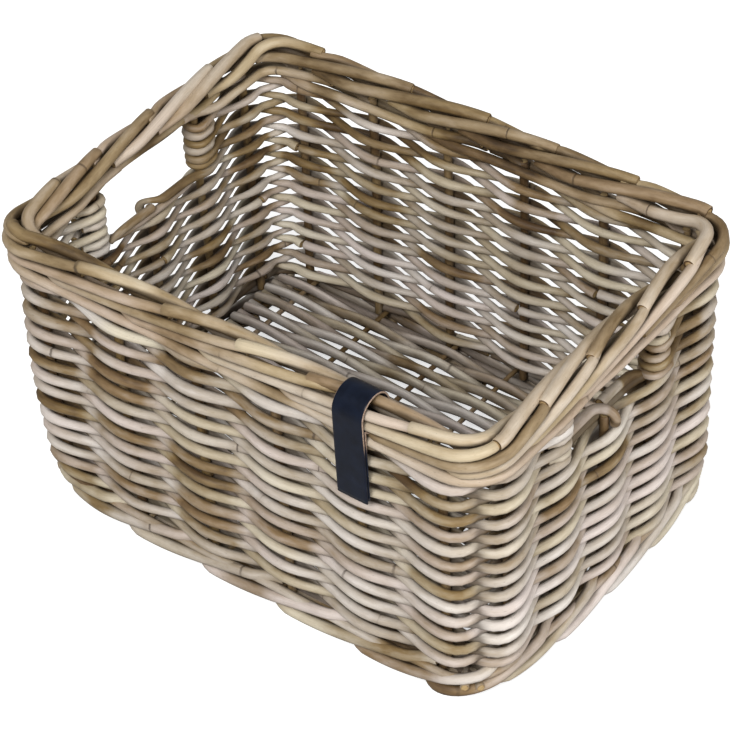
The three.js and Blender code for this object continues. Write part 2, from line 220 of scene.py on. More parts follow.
# A hand-made weave strays a little: a smooth push of every point, none at the floor or at the strap;
# the foot's corners are drawn in by a bell curve round each, and one corner bulges by another
def handmade(points):
    low, high = basket["pushHeights"]
    hold = np.clip((points[:, 2] - low) / (high - low), 0, 1)
    gap = points - (hinge - [0, 0, strap["calmBelow"]])
    calm = 1 - np.exp(-(gap ** 2).sum(1) / strap["calm"] ** 2)
    push = np.column_stack([cloud(points, basket["pushSize"], seed) for seed in basket["pushSeeds"]]) - 0.5
    moved = points + push * basket["push"] * (hold * calm)[:, None]
    lowDown = rise(points[:, 2], *basket["tuckHeights"])
    for corner, tuck in basket["tuck"].items():
        away = points[:, :2] - corner * wallHalf
        bell = np.exp(-(away ** 2).sum(1) / basket["tuckSize"] ** 2) * lowDown
        moved += bell[:, None] * [*tuck, basket["tuckLift"]]
    away = (points - basket["bellyAt"]) / basket["bellySize"]
    bulge = basket["belly"] * np.exp(-(away ** 2).sum(1))
    moved[:, :2] -= bulge[:, None] * basket["bellyWay"]
    return moved


# Path of a rod of the wall, and where it lies as seen from the middle of the weave
def alongWall(u, z, outside, middle=0.0):
    line = wallAt(u, z, outside)
    return handmade(line), line - wallAt(u, z, middle)


# How uneven and oval every rod is, its chamfered cuts, the shifts of its skin and tint, the points of a span,
# and how far from the weave's middle its hidden side takes the painted shade in full
rods = {
    "around": 10, "perSpan": 10, "uneven": 0.14, "unevenStep": 9, "oval": 0.04, "ovalTurn": 6.3, "cut": 0.7,
    "cutSize": 0.86, "buried": 6.0, "least": 0.1, "skinShift": 4000,
    "tintShift": 2000, "tintStep": 130, "tintBy": 1.5,
}


# Faces of a tube: quads between neighbouring rings, then both ends; kind 0 is the skin and 1 a cut end
def tubeFaces(rings, around):
    i, j = np.meshgrid(np.arange(rings - 1), np.arange(around), indexing="ij")
    n = (j + 1) % around
    quads = np.stack([i * around + j, (i + 1) * around + j, (i + 1) * around + n, i * around + n], axis=2)
    ends = np.concatenate([np.arange(around), (rings - 1) * around + np.arange(around)[::-1]])
    quadCount = quads.size // 4
    totals = np.repeat([4, around], [quadCount, 2])
    kinds = np.repeat([0, 1], [quadCount, 2])
    return np.concatenate([quads.ravel(), ends]), totals, kinds


# Arrays into a mesh: corners of all faces in a row, the corners of each face counted by totals
def putMesh(name, points, corners, totals, kinds, **attributes):
    mesh = bpy.data.meshes.new(name)
    mesh.vertices.add(len(points))
    mesh.vertices.foreach_set("co", (points * metre).astype(np.float32).ravel())
    mesh.loops.add(len(corners))
    mesh.loops.foreach_set("vertex_index", corners.astype(np.int32))
    mesh.polygons.add(len(totals))
    starts = np.concatenate([[0], np.cumsum(totals)[:-1]])
    mesh.polygons.foreach_set("loop_start", starts.astype(np.int32))
    mesh.polygons.foreach_set("material_index", kinds.astype(np.int32))
    mesh.polygons.foreach_set("use_smooth", kinds == 0)
    for label, values in attributes.items():
        vector = values.ndim == 2
        layer = mesh.attributes.new(label, "FLOAT_VECTOR" if vector else "FLOAT", "POINT")
        layer.data.foreach_set("vector" if vector else "value", values.astype(np.float32).ravel())
    mesh.update()
    mesh.validate()
    obj = bpy.data.objects.new(name, mesh)
    bpy.context.scene.collection.objects.link(obj)
    return obj


# A finished piece: its materials, the body it moves with and the nodes it stands for
def dress(obj, finishes, body, nodes):
    for finish in finishes:
        obj.data.materials.append(finish)
    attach(obj, body)
    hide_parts(*nodes)


# A bundle gathers rods, each a round section carried along a path, into one mesh with cut ends
class Bundle:
    def __init__(self, name, around=rods["around"]):
        self.name, self.around, self.used = name, around, 0
        self.gathered = {key: [] for key in "points corners totals kinds unbent tone tint deep".split()}

    # section = path + radius * (cos * side + sin * up), side square to the path and to the reference;
    # deep is -1 where the skin faces along away, out of the weave, and 1 where it faces into it
    def rod(self, path, radius, tone, seed, reference=(0, 0, 1), floor=None, away=None):
        dice = diceOf(seed)
        count = len(path)
        uneven = drift(np.arange(count), rods["unevenStep"], seed + 5)
        radius = np.broadcast_to(radius, count) * (1 + rods["uneven"] * uneven)
        lead, tail = (rods["cut"] * unit(way) for way in (path[1] - path[0], path[-1] - path[-2]))
        path = np.vstack([path[:1] - lead, path, path[-1:] + tail])
        radius = np.pad(radius, 1, mode="edge")
        radius[[0, -1]] *= rods["cutSize"]
        tone = np.pad(np.broadcast_to(tone, count), 1, mode="edge")
        along = unit(np.gradient(path, axis=0))
        side = unit(np.cross(along, reference))
        up = np.cross(side, along)
        angle = np.linspace(0, 2 * pi, self.around, endpoint=False)
        reach = radius[:, None] * (1 + rods["oval"] * np.cos(2 * angle + dice.random() * rods["ovalTurn"]))
        across, above = reach * np.cos(angle), reach * np.sin(angle)
        outward = across[:, :, None] * side[:, None] + above[:, :, None] * up[:, None]
        points = path[:, None] + outward
        deep = np.zeros(reach.shape)
        if away is not None:
            away = np.pad(away, ((1, 1), (0, 0)), mode="edge")
            far = np.maximum(np.linalg.norm(away, axis=1), rods["least"])
            facing = (outward * away[:, None]).sum(2) / (radius * far)[:, None]
            deep = -facing * np.minimum(far / rods["buried"], 1)[:, None]
        if floor is not None:
            points[:, :, 2] = np.maximum(points[:, :, 2], floor)
        length = lengthAlong(path)
        skin = np.broadcast_to(length[:, None] + dice.random() * rods["skinShift"], reach.shape)
        unbent = np.stack([skin, across, above], axis=2)
        wander = drift(length + dice.random() * rods["tintShift"], rods["tintStep"], seed + 9)
        tint = np.clip(0.5 + wander * rods["tintBy"], 0, 1)
        corners, totals, kinds = tubeFaces(*reach.shape)
        made = (points.reshape(-1, 3), corners + self.used, totals, kinds, unbent.reshape(-1, 3) * metre,
                np.repeat(tone, self.around), np.repeat(tint, self.around), deep.ravel())
        for gathered, values in zip(self.gathered.values(), made):
            gathered.append(values)
        self.used += reach.size

    # all rods as one mesh on the basket, with the skin of its slot
    def put(self, slot, *nodes):
        obj = putMesh(self.name, **{key: np.concatenate(values) for key, values in self.gathered.items()})
        skin = borderRattan if slot == "border_rattan" else wallRattan
        dress(obj, [skin, cutRattan], "basket", nodes)


# How tones vary, 0 pale to 1 dark: along a rod, in clouds that neighbours share, and in patches of the walls
ageing = {
    "driftStep": 85, "driftShift": 37, "drift": 0.3, "cloudSize": (46, 46, 30), "cloudSeed": 31,
    "cloud": (0.56, 0.76), "cloudBy": 0.4, "patchSeeds": (77, 78), "patchCells": 16, "patchShift": 9,
    "patchHeight": (21, 30), "patchBlend": (0.3, 0.7), "patch": (0.56, 0.88), "seam": (0.05, 0.5),
    # painted shade on the left wall's inside and painted light on the right wall's outside
    "leftInsideShade": 0.14, "rightOutsideLight": -0.16,
}


# Tone of a rod along its path: its own tone, a slow drift, and brown patches
def toneOf(path, base, seed, driftBy=ageing["drift"], patchBy=ageing["cloudBy"], patch=None):
    if patch is None:
        patch = rise(cloud(path, ageing["cloudSize"], ageing["cloudSeed"]), *ageing["cloud"])
    own = drift(lengthAlong(path) + seed * ageing["driftShift"], ageing["driftStep"], seed)
    return base + driftBy * own + patchBy * patch


# Brown patches of a wall: each stake has its own along the height, outside and inside, that end at the seams;
# the left wall's inside is made browner as painted shade, and the right wall's outside paler as painted light
def wallPatch(u, z, side):
    near = nearStake(u)
    cells = ageing["patchCells"]
    tableDice, shiftDice = (diceOf(seed) for seed in ageing["patchSeeds"])
    table = tableDice.random((2, stakeCount, cells))
    shift = shiftDice.random((2, stakeCount)) * ageing["patchShift"]
    face = (side < 0).astype(int)
    place = z / np.array(ageing["patchHeight"])[face] + shift[face, near]
    cell = np.floor(place).astype(int)
    first, second = table[face, near, cell % cells], table[face, near, (cell + 1) % cells]
    level = first + (second - first) * rise(place - cell, *ageing["patchBlend"])
    # painted shade: the left wall's inside is browner
    level = level + ageing["leftInsideShade"] * face * (stakeWall[near] == leftWall)
    # painted light: the right wall's outside, which faces the side lamp, is paler
    level = level + ageing["rightOutsideLight"] * (1 - face) * (stakeWall[near] == rightWall)
    return rise(level, *ageing["patch"]) * rise(np.abs(side), *ageing["seam"])


# A value or colour in a node tree; arithmetic on it adds Math nodes
class Val:
    def __init__(self, finish, socket):
        self.finish, self.socket = finish, socket

    def calc(self, operation, other=None, flipped=False):
        pair = (other, self) if flipped else (self, other)
        given = {i: v for i, v in enumerate(pair) if v is not None}
        return self.finish.node("ShaderNodeMath", {"operation": operation}, given)

    __add__ = partialmethod(calc, "ADD")
    __radd__ = partialmethod(calc, "ADD", flipped=True)
    __sub__ = partialmethod(calc, "SUBTRACT")
    __rsub__ = partialmethod(calc, "SUBTRACT", flipped=True)
    __mul__ = partialmethod(calc, "MULTIPLY")
    __rmul__ = partialmethod(calc, "MULTIPLY", flipped=True)
    __truediv__ = partialmethod(calc, "DIVIDE")
    __rtruediv__ = partialmethod(calc, "DIVIDE", flipped=True)
    fract = partialmethod(calc, "FRACT")
    size = partialmethod(calc, "ABSOLUTE")
    larger = partialmethod(calc, "MAXIMUM")


# A material or the world, and the one way to add a node: settings first, then its sockets' values or links
class Finish:
    def __init__(self, name, kind=bpy.data.materials):
        self.made = kind.new(name)
        self.made.use_nodes = True
        self.tree = self.made.node_tree
        self.tree.nodes.clear()

    def node(self, kind, settings=None, inputs=None, out=0):
        made = self.tree.nodes.new(kind)
        for key, value in (settings or {}).items():
            if key == "stops":
                ramp = made.color_ramp
                for _ in value[2:]:
                    ramp.elements.new(0.5)
                for element, (place, colour) in zip(ramp.elements, value):
                    element.position, element.color = place, colour
            else:
                setattr(made, key, value)
        for key, value in (inputs or {}).items():
            if isinstance(value, Val):
                self.tree.links.new(value.socket, made.inputs[key])
            else:
                made.inputs[key].default_value = value
        return Val(self, made.outputs[out]) if len(made.outputs) else None

    def attribute(self, name, out="Fac"):
        return self.node("ShaderNodeAttribute", {"attribute_name": name}, out=out)

    def stretch(self, vector, by):
        return self.node("ShaderNodeVectorMath", {"operation": "MULTIPLY"}, {0: vector, 1: by})

    def part(self, vector, axis):
        return self.node("ShaderNodeSeparateXYZ", None, {0: vector}, out=axis)

    def noise(self, vector, by, detail, roughness=0.55):
        inputs = {"Vector": self.stretch(vector, by), "Scale": 1.0, "Detail": detail, "Roughness": roughness}
        return self.node("ShaderNodeTexNoise", None, inputs)

    def between(self, value, low, high):  # 0 below low, 1 above high, smooth between
        settings = {"interpolation_type": "SMOOTHSTEP"}
        return self.node("ShaderNodeMapRange", settings, {"Value": value, "From Min": low, "From Max": high})

    def ramp(self, value, stops):
        return self.node("ShaderNodeValToRGB", {"stops": stops}, {"Fac": value})

    def mix(self, share, first, second, blend="MIX"):
        settings = {"data_type": "RGBA", "blend_type": blend}
        return self.node("ShaderNodeMix", settings, {0: share, 6: first, 7: second}, out=2)

    def bump(self, height, strength, distance):
        inputs = {"Height": height, "Strength": strength, "Distance": distance}
        return self.node("ShaderNodeBump", None, inputs)

    def done(self, **inputs):
        named = {key.replace("_", " "): value for key, value in inputs.items()}
        surface = self.node("ShaderNodeBsdfPrincipled", None, named)
        self.node("ShaderNodeOutputMaterial", None, {"Surface": surface})
        return self.made


# Colour as seen on a screen to the light it stands for, by the screen's own curve
def shade(red, green, blue):
    seen = (channel / 255 for channel in (red, green, blue))
    return (*(((c + 0.055) / 1.055) ** 2.4 if c > 0.04 else c / 12.92 for c in seen), 1)


# Rattan skin; a pattern's numbers are how often it changes in a metre along the rod and across it, then its
# detail and roughness; a stain's are its strength and colour
rattanLook = {
    "wall": [(0.0, shade(222, 216, 210)), (0.25, shade(200, 191, 181)), (0.5, shade(172, 159, 141)),
             (0.72, shade(139, 117, 82)), (1.0, shade(86, 65, 39))],
    "border": [(0.0, shade(208, 196, 180)), (0.3, shade(186, 169, 146)), (0.55, shade(154, 134, 103)),
               (0.8, shade(112, 91, 60)), (1.0, shade(68, 52, 33))],
    "fibre": ((28, 1500, 1500), 4.0, 0.6), "blotch": ((55, 190, 190), 3.0, 0.6),
    "weather": ((13, 70, 70), 2.0, 0.5), "speck": ((420, 1900, 1900), 2.0, 0.6),
    "nodeDrift": ((4, 0, 0), 1.0), "nodeFade": ((9, 40, 40), 1.0),
    "ringSize": (0.0003, 0.0014), "collarSize": (0.001, 0.012), "underShadeSize": (-0.0006, -0.0034),
    "pink": (0.97, 0.9, 0.9, 1), "olive": (0.95, 0.91, 0.7, 1), "tintBy": 0.7,
    "streak": (0.5, 0.45, 0.38, 1), "streakBy": 0.34, "collar": (0.22, shade(120, 96, 62)),
    # the next two are painted shade: on the underside of each rod and on its side hidden in the weave
    "under": (0.6, shade(58, 45, 30)), "hiddenShade": (0.75, shade(66, 51, 33)), "mark": shade(52, 38, 24),
    "bleach": 0.1, "gloss": 0.45, "bump": (0.5, 0.0007),
}


# Tone to colour by the stops, tinted pink or olive, with fibres, blotches, specks and rings at nodes, and
# painted shade on the underside of each rod and on its side hidden in the weave
def rattanFinish(name, stops, nodeGap):
    f, look = Finish(name), rattanLook
    unbent = f.attribute("unbent", "Vector")
    tone, tint, deep = (f.attribute(label) for label in ("tone", "tint", "deep"))
    patterns = ("fibre", "blotch", "weather", "speck", "nodeDrift", "nodeFade")
    fibre, blotch, weather, speck, nodeDrift, nodeFade = (f.noise(unbent, *look[key]) for key in patterns)
    speck = f.between(speck, 0.66, 0.76)
    uneven = nodeDrift * 0.9 + (blotch - 0.5) * 0.01  # the nodes stand at uneven distances
    away = ((f.part(unbent, "X") / nodeGap + uneven).fract() - 0.5).size() * nodeGap
    ring = (1 - f.between(away, *look["ringSize"])) * f.between(nodeFade, 0.35, 0.6)
    collar = 1 - f.between(away, *look["collarSize"])
    level = tone + (blotch - 0.5) * 0.62 + (weather - 0.5) * 0.4 + (fibre - 0.5) * 0.26
    level = level - f.between(deep, -0.3, -1.0) * look["bleach"]  # bleached where it faces out
    colour = f.ramp(level, stops)
    colour = f.mix(f.between(tint, 0.55, 1.0) * look["tintBy"], colour, look["pink"], "MULTIPLY")
    colour = f.mix(f.between(tint, 0.45, 0.0) * look["tintBy"], colour, look["olive"], "MULTIPLY")
    streak = f.mix(f.between(fibre, 0.3, 0.72), look["streak"], (1, 1, 1, 1))
    colour = f.mix(look["streakBy"], colour, streak, "MULTIPLY")
    # painted shade: the underside of each rod is darkened, more where the blotches are
    under = f.between(f.part(unbent, "Z"), *look["underShadeSize"]) * (0.6 + blotch * 0.8)
    # painted shade: the skin that faces into the weave, between the rods, is darkened
    hiddenShade = f.between(deep + (blotch - 0.5) * 0.3, -0.15, 0.6)
    for share, key in ((collar, "collar"), (under, "under"), (hiddenShade, "hiddenShade")):
        strength, stain = look[key]
        colour = f.mix(share * strength, colour, stain)
    colour = f.mix((ring * 0.75).larger(speck * 0.5), colour, look["mark"])
    bulge = fibre * 0.5 + blotch * 0.8 + collar * 0.8 - ring * 1.1 - speck * 0.5
    return f.done(Base_Color=colour, Roughness=0.42 + blotch * 0.26, Specular_IOR_Level=look["gloss"],
                  Normal=f.bump(bulge, *look["bump"]))


# Cut end of a rod
cutLook = {
    "stops": [(0.0, shade(196, 172, 128)), (0.45, shade(165, 138, 96)), (0.8, shade(100, 76, 48)),
              (1.0, shade(58, 42, 27))],
    "pores": ((1, 3200, 3200), 3.0, 0.7), "patch": ((1, 500, 500), 2.0, 0.5), "rim": (0.0015, 0.0036),
    "gloss": 0.2, "bump": (0.6, 0.0006),
}


# A brown rim, by the distance from the rod's middle, round a pale core with dark pores and patches
def cutFinish(name):
    f, look = Finish(name), cutLook
    unbent = f.attribute("unbent", "Vector")
    flat = f.stretch(unbent, (0, 1, 1))
    reach = f.node("ShaderNodeVectorMath", {"operation": "LENGTH"}, {0: flat}, out="Value")
    pores, patch = (f.noise(unbent, *look[key]) for key in ("pores", "patch"))
    level = f.between(reach, *look["rim"]) * 0.7 + (pores - 0.5) * 0.9 + (patch - 0.5) * 0.5 + 0.25
    return f.done(Base_Color=f.ramp(level, look["stops"]), Roughness=0.85, Specular_IOR_Level=look["gloss"],
                  Normal=f.bump(pores, *look["bump"]))


# Leather of the strap
leatherLook = {
    "skin": [(0.25, shade(10, 15, 26)), (0.75, shade(21, 29, 46))],
    "raw": [(0.3, shade(104, 84, 70)), (0.7, shade(186, 162, 144))], "rawFrom": (0.45, 0.75),
    "scuff": shade(58, 64, 78), "scuffBy": 0.25, "grain": ((1500, 1500, 1500), 3.0, 0.6),
    "wear": ((90, 90, 90), 3.0, 0.6), "cells": (1150, 1150, 400), "gloss": 0.15, "bump": (0.22, 0.0004),
}


# Near black with a fine grain, scuffed near its edges, and raw beige where it was cut
def leatherFinish(name):
    f, look = Finish(name), leatherLook
    unbent = f.attribute("unbent", "Vector")
    edge = f.attribute("tone")
    grain, wear = (f.noise(unbent, *look[key]) for key in ("grain", "wear"))
    cells = {"Vector": f.stretch(unbent, look["cells"]), "Scale": 1.0}
    cell = f.node("ShaderNodeTexVoronoi", {"feature": "F1"}, cells, out="Distance")
    scuff = f.between(wear + edge * 0.35, 0.62, 0.9)
    raw = f.between(edge, *look["rawFrom"])
    colour = f.mix(scuff * look["scuffBy"], f.ramp(wear, look["skin"]), look["scuff"])
    colour = f.mix(raw, colour, f.ramp(grain, look["raw"]))
    rough = 0.24 + wear * 0.2 + raw * 0.4
    return f.done(Base_Color=colour, Roughness=rough, Specular_IOR_Level=look["gloss"],
                  Normal=f.bump(grain * 0.35 - cell * 0.5, *look["bump"]))


wallRattan = rattanFinish("wallRattan", rattanLook["wall"], nodeGap=0.4)
borderRattan = rattanFinish("borderRattan", rattanLook["border"], nodeGap=0.3)
cutRattan = cutFinish("cutRattan")
strapLeather = leatherFinish("strapLeather")
print("finishes made")

# Side weavers: two that chase each other in a double screw, outside and inside of every second stake
sides = {
    "first": 22.79, "pitch": 6.65, "reach": 7.05, "radius": 3.12, "swell": 0.13, "sag": -0.4,
    "stray": 2.3, "strayStep": 0.9, "strayLeast": 0.35,
    "slim": (0.76, 1.09, 1.14, 0.92),  # how thick the rods are between stakes, on each wall
    "groove": 4.5, "grooveSize": 0.18,  # a corner's crossings lie deeper
    "joints": (0, 26, 52, 78, 104, 130, 154, 180, 206, 231), "jointGap": 0.03, "perNode": 3,
    # leftTone darkens the left wall's rods where they lie inside: painted shade
    "tone": (0.24, 0.36), "toneDrift": 0.4, "patchBy": 0.46, "leftTone": (0, 0.4, 0.14),
}

# A weaver's end at a slot's sill; lines are stake counts from the cut stake, heights and distances outside
sill = {
    "loop": ((-0.2, 0, -7), (-0.12, 0.3, -6.4), (-0.05, 0.5, -4), (0, 0, -0.3), (0.035, -1.6, 3.6),
             (0.055, -4.6, 6.2), (0.065, -8.5, 6.9), (0.07, -12, 6.4)), "loopSteps": 5,
    "rod": ((0.08, -0.9, -6.9), (0.3, -0.4, -7), (0.6, -0.8, -6.9), (0.74, -2, -6.4), (0.85, -5, -5)),
    "fill": ((-0.9, 0, -2.5), (-0.6, 0.4, -5.6), (0, 0, -6.2), (0.6, 0.3, -5.6), (0.9, 0, -2.5)),
    "rodSteps": 6, "tone": (0.36, 0.56), "fillTone": 0.4, "stop": 0.3,
    "lift": (-1.1, -0.55, 6.0), "toned": (-1.1, -0.6), "buried": (-0.7, -1.2),
}


# Groove of the corners: a bell curve round the stake count half way between the stakes beside each corner
def grooveAt(u):
    away = [np.abs((u - corner + halfRound) % stakeCount - halfRound) for corner in cornerCounts]
    return sides["groove"] * np.exp(-(np.min(away, axis=0) / sides["grooveSize"]) ** 2)


# Thickness of a wall's rod: the most where it passes a stake, and each wall's own measure between stakes
def rodSize(u, side):
    slim = np.array(sides["slim"])[stakeWall[nearStake(u)]]
    return slim + (np.maximum(slim, 1) + sides["swell"] - slim) * np.minimum(side ** 4, 1)


# Rod of a wall through stake counts, heights and distances outside; buried 0 leaves its hidden side without
# painted shade
def wallRod(bundle, u, z, outside, base, seed, buried):
    path, away = alongWall(u, z, outside - grooveAt(u))
    side = outside / sides["reach"]
    onLeft = stakeWall[nearStake(u)] == leftWall
    # painted shade: on the left wall the rods are darker where they lie inside
    base = base + rise(-side, *sides["leftTone"]) * onLeft
    tone = toneOf(path, base, seed, sides["toneDrift"], sides["patchBy"], wallPatch(u, z, side))
    away = away * np.reshape(buried, (-1, 1))
    bundle.rod(path, sides["radius"] * rodSize(u, side), tone, seed, away=away)


# The end is drawn up to the sill, goes over the cut stake and hangs down outside; one more rod fills the row
# that it leaves, and another carries the sill on
def endAtSill(bundle, high, u, z, outside, base, tone, seed):
    fill = through(sill["fill"], sill["rodSteps"]) + [high, z[-1], 0]
    wallRod(bundle, *fill.T, sill["fillTone"], seed + 8, 1.0)
    z = z + rise(u - high, *sill["lift"])
    loop = through(sill["loop"], sill["loopSteps"]) + [high, z[-1], 0]
    rod = through(sill["rod"], sill["rodSteps"]) + [high, loop[0, 1], 0]
    wallRod(bundle, *rod.T, tone, seed + 7, 0.0)
    u, z, outside = (np.concatenate(pair) for pair in zip((u, z, outside), loop.T))
    base = base + (tone - base) * rise(u - high, *sill["toned"])
    return u, z, outside, base, rise(u - high, *sill["buried"])


for phase, letter in enumerate("ab"):
    start = phase * halfRound
    for part in range(len(sides["joints"]) // sides["perNode"]):
        bundle = Bundle(f"sideWeaver{letter.upper()}{part + 1}")
        for piece in range(part * sides["perNode"], (part + 1) * sides["perNode"]):
            seed = seeds["sides"][phase] + piece
            low, high = (start + joint for joint in sides["joints"][piece:piece + 2])
            atSill = piece == len(sides["joints"]) - 2
            stop = high - (sill["stop"] if atSill else sides["jointGap"])
            u = np.linspace(low + sides["jointGap"], stop, int((high - low) * rods["perSpan"]) + 1)
            side = -wave(u + phase)
            if atSill:
                side = np.where(u > high - 1, -1, side)
            stray = sides["stray"] * drift(u, sides["strayStep"], seed + seeds["stray"])
            stray = stray * (sides["strayLeast"] + (1 - sides["strayLeast"]) * side ** 2)
            if atSill:
                stray = stray * rise(u, high, high - 1)
            z = sides["first"] + 2 * sides["pitch"] * (u - start) / stakeCount - sides["sag"] * side + stray
            outside = sides["reach"] * side
            base, buried = vary(diceOf(seed), *sides["tone"]), 1.0
            if atSill:
                ended = endAtSill(bundle, high, u, z, outside, base, sill["tone"][phase], seed)
                u, z, outside, base, buried = ended
            wallRod(bundle, u, z, outside, base, seed, buried)
        bundle.put("rattan", f"side_weaver_{letter}{part + 1}")
print("side weavers woven")

# Weavers beside the slots: each row runs from slot to slot and hooks round the stakes at both ends
slots = {
    "sill": 162.44, "overSill": 3.1, "top": 206.714, "rows": 6, "reach": 7.0, "radius": 3.42,
    "slim": 0.96, "thin": 0.12, "stray": 1.6,
    # hooks: by how much less they may reach past the stake; their tails' lengths, heights and tuck
    "hookLess": 2.2, "hookSteps": 9, "tail": (11.0, 21.0), "tailSteps": 6, "drop": 2.6,
    "tuck": (-9.0, 0, 0.75), "tone": (0.48, 0.36),
    # beside the left slot the front half starts paler and the back half ends browner
    "leftTone": ((5, 3, -0.24), (-2, -0.5, 0.2)),
}


# Half circle round a stake in plan, with a straight tail behind it that is tucked into the wall: ahead along
# the wall, across out of it; the tail lies lower than the rod by the given drop
def hookAt(k, z, ahead, side, tail, reach, drop):
    turn = np.linspace(-pi / 2, pi / 2, slots["hookSteps"])[:-1]
    back = np.linspace(tail, 0, slots["tailSteps"])[:-1]
    along = np.concatenate([-ahead * back, ahead * reach * np.cos(turn)])
    across = slots["reach"] * np.concatenate([rise(back - tail, *slots["tuck"]) - 1, np.sin(turn)]) * side
    z = z - drop * np.concatenate([np.ones(len(back)), (1 - np.sin(turn)) / 2])
    point = wallAt(float(k), z, across)
    away = point - wallAt(float(k), z, 0)
    travel = wallTravel[stakeWall[k % stakeCount]]
    point[:, :2] += travel * along[:, None]
    away[:, :2] += travel * (ahead * np.maximum(along * ahead, 0))[:, None]
    return point, away


for half, label in enumerate(("front", "back")):
    start = half * halfRound
    ends = (start + 1, start + halfRound - 1)
    bundle = Bundle("slotWeaver" + label.capitalize())
    for row in range(slots["rows"]):
        seed = seeds["slots"][half] + row
        dice = diceOf(seed)
        u = np.linspace(*ends, (ends[1] - ends[0]) * rods["perSpan"] + 1)
        side = -wave(u + (row + half + 1) % 2)
        below = slots["sill"] - sides["pitch"] * (1 - (u - start) / halfRound) + slots["overSill"]
        z = below + (row + 0.5) * (slots["top"] - below) / slots["rows"] - sides["sag"] * side
        z = z + slots["stray"] * drift(u, sides["strayStep"], seed + seeds["stray"])
        run = wallAt(u, z, slots["reach"] * side - grooveAt(u))
        tail = dice.uniform(*slots["tail"], 2)
        reach = slots["reach"] - slots["hookLess"] * dice.random(2)
        drop = slots["drop"] * (dice.random(2) - 0.5)
        first, firstAway = hookAt(ends[0], z[0], -1, side[0], tail[0], reach[0], drop[0])
        last, lastAway = hookAt(ends[1], z[-1], 1, side[-1], tail[1], reach[1], drop[1])
        path = handmade(np.vstack([first, run, last[::-1]]))
        away = np.vstack([firstAway, run - wallAt(u, z, 0), lastAway[::-1]])
        hooks = (len(first), len(last))
        nearLeft = rise(u - ends[half], *slots["leftTone"][half])
        base = vary(dice, *slots["tone"]) + np.pad(nearLeft, hooks, mode="edge")
        size = np.pad(np.maximum(rodSize(u, side), slots["slim"]), hooks, constant_values=1)
        radius = slots["radius"] * size * (1 - slots["thin"] * dice.random())
        bundle.rod(path, radius, toneOf(path, base, seed, sides["toneDrift"]), seed, away=away)
    bundle.put("rattan", f"slot_weaver_{label}")
print("slot weavers woven")

# Stakes: upright rods that show in the weave's gaps only; the middle ones of the short walls end at the sills
# their dark tone is partly their own colour and partly painted shade of the gaps they stand in
uprights = {"radius": 3.45, "low": 13.9, "high": 215.2, "sill": 162.0, "underStrap": 212.2, "nearStrap": 20.0,
            "steps": 26, "tone": 0.86, "across": (1, 0.2, 0)}
for wall, label in enumerate(wallNames):
    bundle = Bundle("stakes" + label.capitalize())
    members = sorted(np.flatnonzero(stakeWall == wall), key=lambda k: stakePlace[k])
    for k in members:
        top = uprights["high"]
        if not wallIsLong[wall] and k % halfRound == 0:
            top = uprights["sill"]
        if label == "front" and abs(stakePlace[k] - strap["centre"]) < uprights["nearStrap"]:
            top = uprights["underStrap"]
        path = handmade(wallAt(float(k), np.linspace(uprights["low"], top, uprights["steps"]), 0))
        seed = seeds["stakes"] + k
        bundle.rod(path, uprights["radius"], toneOf(path, uprights["tone"], seed), seed, uprights["across"])
    bundle.put("rattan", *(f"stake_{label}_{i + 1}" for i in range(len(members))))
print("stakes set")

# Wales: rods laid round the outside and the inside of the stakes; the inner one is of short rods that overlap
# and is drawn up and out over the slots
plainWale = {
    "radius": 3.7, "run": 21.94, "overlap": 0, "lift": 0, "out": 0, "tuck": 0, "slant": 0, "wobble": 0.7,
    "first": 16.53, "last": 38.4, "overSlot": (1.5, 0.75), "startTuck": (0.3, 0), "endTuck": (0.8, 1),
}
wales = {
    "top_wale_outer": {"z": 208.4, "outside": 6.7, "tone": 0.34, "dip": 0.6},
    "top_wale_inner": {"z": 211.8, "outside": -7.6, "tone": 0.45, "dip": -0.6, "lift": 6.0, "out": 4.0,
                       "run": 2.0, "overlap": 0.75, "tuck": 6.0, "slant": 8.0},
    "foot_wale": {"z": 17.6, "outside": 6.0, "radius": 3.3, "tone": 0.5, "dip": 0.5},
}
for index, (node, own) in enumerate(wales.items()):
    wale = plainWale | own
    words = node.split("_")
    bundle = Bundle(words[0] + "".join(word.capitalize() for word in words[1:]))
    for first in np.arange(wale["first"], wale["last"], wale["run"]):
        seed = seeds["wales"][index] + int(first)
        run = wale["run"] + wale["overlap"]
        share = np.linspace(0, 1, int(run * rods["perSpan"]))
        u = first + run * share
        overSlot = rise(fromSlot(u), *wale["overSlot"])
        tuck = rise(share, *wale["startTuck"]) + rise(share, *wale["endTuck"])
        z = wale["z"] + wale["wobble"] * np.sin(pi * u + index) + wale["lift"] * overSlot
        z = z + wale["slant"] * (0.5 - share) * (1 - overSlot)
        outside = wale["outside"] - wale["dip"] * np.sin(pi * u) ** 2
        outside = outside + wale["out"] * overSlot + wale["tuck"] * tuck * (1 - overSlot)
        path, away = alongWall(u, z, outside)
        bundle.rod(path, wale["radius"], toneOf(path, wale["tone"], seed), seed, away=away)
    bundle.put("border_rattan" if node.startswith("top") else "rattan", node)
print("wales laid")

